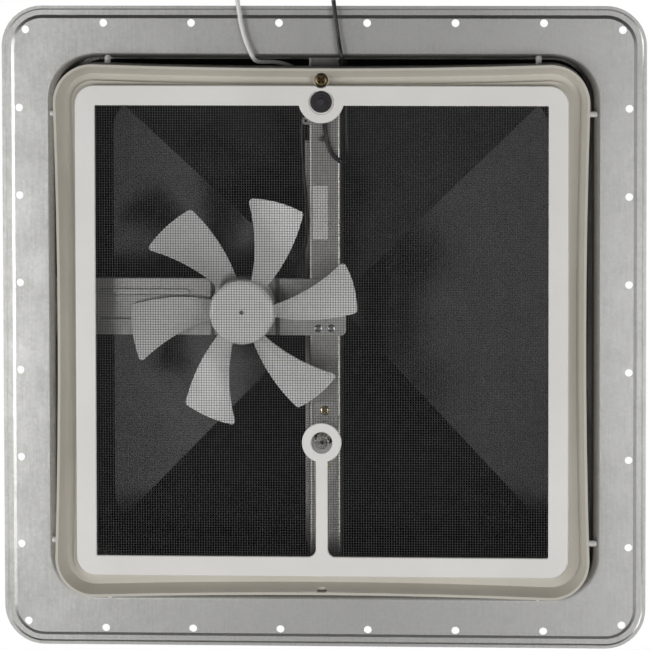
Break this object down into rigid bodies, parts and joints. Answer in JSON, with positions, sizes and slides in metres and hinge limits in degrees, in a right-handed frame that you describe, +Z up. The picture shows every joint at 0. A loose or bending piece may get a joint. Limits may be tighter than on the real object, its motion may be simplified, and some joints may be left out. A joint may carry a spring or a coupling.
{
  "type": "powered roof vent",
  "caption": "Square powered roof vent with a galvanised flange, screened bladed fan on a strap, crank-lifted smoke pyramid lid and push-button switch.",
  "frame": {"origin": "middle of the roof flange's underside, in the plane that rests on the roof", "axes": "+Z up and out of the roof to the lid, +Y towards the lid's hinge, +X completes the right-handed frame, to the right seen from inside with the hinge at the bottom"},
  "size_m": [0.432, 0.4363, 0.128],
  "materials": {
    "galvanised": "spangled zinc",
    "steel": "bright zinc plate",
    "dark_steel": "dark phosphate",
    "bronze": "dark bronze plate",
    "yellow_zinc": "yellow zinc plate",
    "tan_plastic": "satin moulded",
    "white_plastic": "satin moulded",
    "fan_plastic": "moulded",
    "screen_mesh": "coated woven yarn",
    "black_plastic": "moulded",
    "black_wire": "insulation",
    "white_wire": "insulation",
    "label": "vinyl sticker",
    "motor_steel": "drawn",
    "ferrite": "sintered",
    "copper": "varnished winding",
    "nylon": "moulded",
    "zinc_cast": "die cast",
    "brass": "turned",
    "smoke": "smoke, translucent",
    "foam": "closed cell foam"
  },
  "bodies": {
    "base": {"roof_flange": "galvanised", "inner_liner": "tan_plastic", "liner_pegs": "white_plastic", "liner_screw": "bronze", "screen_frame": "white_plastic", "insect_screen": "screen_mesh", "switch_nut": "black_plastic", "switch_body": "black_plastic", "switch_spring": "steel", "switch_cord": "black_wire", "crossbar": "galvanised", "crossbar_rivets": "steel", "blank_label": "label", "motor_bracket": "galvanised", "bracket_rivets": "steel", "motor_can": "motor_steel", "motor_end_cap": "black_plastic", "motor_magnets": "ferrite", "motor_bushes": "brass", "motor_screws": "steel", "motor_leads": "black_wire", "wire_connectors": "nylon", "supply_wire_white": "white_wire", "supply_wire_black": "black_wire", "operator_plate": "galvanised", "operator_screws": "yellow_zinc", "operator_housing": "zinc_cast", "arm_pivot_pin": "steel", "crank_bush": "dark_steel", "hinge_leaf_base": "galvanised", "hinge_pins": "steel", "hinge_rivets_base": "steel"},
    "fan": {"fan_blades": "fan_plastic", "motor_shaft": "steel", "motor_rotor": "copper"},
    "crank": {"crank_shaft": "zinc_cast", "drive_worm": "steel"},
    "arm": {"lift_arm": "steel", "sector_gear": "steel", "arm_rivets": "steel", "shoe_pin": "steel"},
    "shoe": {"slide_shoe": "nylon"},
    "lid": {"lid_dome": "smoke", "lid_gasket": "foam", "slide_rail": "galvanised", "rail_rivets": "steel", "hinge_leaf_lid": "galvanised", "hinge_rivets_lid": "steel"},
    "button": {"switch_button": "black_plastic"}
  },
  "joints": [
    {"name": "lid_hinge", "type": "hinge", "parent": "base", "child": "lid", "pos_m": [0, 0.191, 0.045], "axis": [-1, 0, 0], "range_deg": [0, 45]},
    {"name": "arm_pivot", "type": "hinge", "parent": "base", "child": "arm", "pos_m": [0, 0.06, 0.028], "axis": [-1, 0, 0], "range_deg": [0, 90]},
    {"name": "crank_spin", "type": "hinge", "parent": "base", "child": "crank", "pos_m": [0, 0.074, 0], "axis": [0, 0, 1], "range_deg": [0, 2700]},
    {"name": "shoe_pivot", "type": "hinge", "parent": "arm", "child": "shoe", "pos_m": [0, -0.071, 0.045], "axis": [-1, 0, 0], "range_deg": [-45, 0]},
    {"name": "fan_spin", "type": "hinge", "parent": "base", "child": "fan", "pos_m": [-0.054, -0.0115, 0], "axis": [0, 0, 1], "continuous": true},
    {"name": "switch_press", "type": "slide", "parent": "base", "child": "button", "axis": [0, 0, 1], "range_m": [0, 0.002], "stiffness_N_per_m": 400, "springref_m": -0.001, "deforming": ["switch_spring"]}
  ],
  "couplings": [
    {"joint": "arm_pivot", "follows": "lid_hinge", "ratio": 2},
    {"joint": "crank_spin", "follows": "lid_hinge", "ratio": 60},
    {"joint": "shoe_pivot", "follows": "lid_hinge", "ratio": -1}
  ]
}
